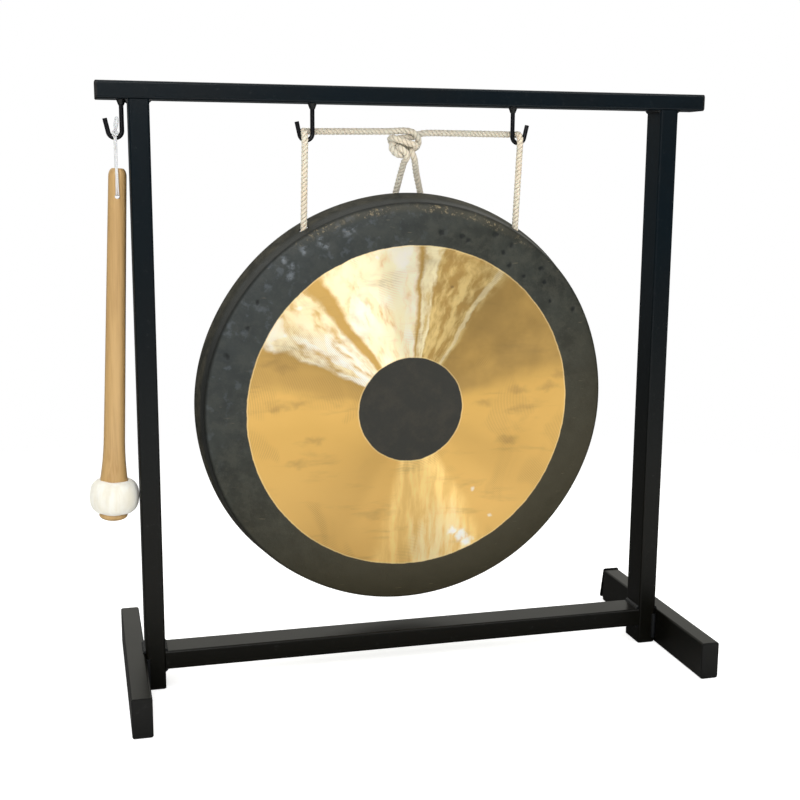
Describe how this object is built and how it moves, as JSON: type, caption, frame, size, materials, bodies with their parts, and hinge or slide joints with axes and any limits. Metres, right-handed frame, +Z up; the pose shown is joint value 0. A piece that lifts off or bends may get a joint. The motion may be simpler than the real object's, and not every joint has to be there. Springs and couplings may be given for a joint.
{
  "type": "gong on stand",
  "caption": "Tam tam gong hung by a cotton rope from the hooks of a welded black tube stand, with a felt-headed mallet on a side hook.",
  "frame": {"origin": "on the floor, at the centre of the object's whole outline seen from above", "axes": "+Z up, -Y towards the player, +X to the player's right along the top bar"},
  "size_m": [0.6572, 0.257, 0.6155],
  "materials": {
    "frame_paint": "glossy black paint over welded steel tube",
    "hook_paint": "glossy black paint over bent steel rod",
    "end_caps": "black polyethylene, satin",
    "bronze": "hammered bronze, lathe-turned gold ring between dark patina on rim and centre",
    "cotton_rope": "three-strand laid natural cotton",
    "white_cord": "thin white braided cord",
    "handle_wood": "turned light hardwood, clear varnish",
    "cotton_wadding": "wound cotton wadding",
    "white_felt": "soft white wool felt"
  },
  "bodies": {
    "stand": {"top_bar": "frame_paint", "left_upright": "frame_paint", "right_upright": "frame_paint", "lower_crossbar": "frame_paint", "left_foot": "frame_paint", "right_foot": "frame_paint", "top_bar_cap_left": "end_caps", "top_bar_cap_right": "end_caps", "left_upright_cap": "end_caps", "right_upright_cap": "end_caps", "left_foot_front_cap": "end_caps", "left_foot_rear_cap": "end_caps", "right_foot_front_cap": "end_caps", "right_foot_rear_cap": "end_caps", "frame_welds": "frame_paint", "gong_hook_left": "hook_paint", "gong_hook_right": "hook_paint", "mallet_hook": "hook_paint", "hook_welds": "frame_paint"},
    "rope_sling": {"hanging_rope": "cotton_rope"},
    "gong": {"gong": "bronze"},
    "mallet_cord": {"mallet_cord": "white_cord"},
    "mallet": {"mallet_handle": "handle_wood", "mallet_padding": "cotton_wadding", "mallet_felt": "white_felt"}
  },
  "joints": [
    {"name": "gong_swing", "type": "hinge", "parent": "stand", "child": "rope_sling", "pos_m": [0.01048, 0, 0.5624], "axis": [1, 0, 0], "range_deg": [-12, 12]},
    {"name": "gong_tilt", "type": "hinge", "parent": "rope_sling", "child": "gong", "pos_m": [0.01048, -0.007, 0.47178], "axis": [1, 0, 0], "range_deg": [-3, 8]},
    {"name": "mallet_swing", "type": "hinge", "parent": "stand", "child": "mallet_cord", "pos_m": [-0.28952, 0, 0.5624], "axis": [1, 0, 0], "range_deg": [-25, 25]},
    {"name": "mallet_sway", "type": "hinge", "parent": "mallet_cord", "child": "mallet", "pos_m": [-0.28952, 0, 0.5065], "axis": [0, 1, 0], "range_deg": [0, 5]}
  ]
}
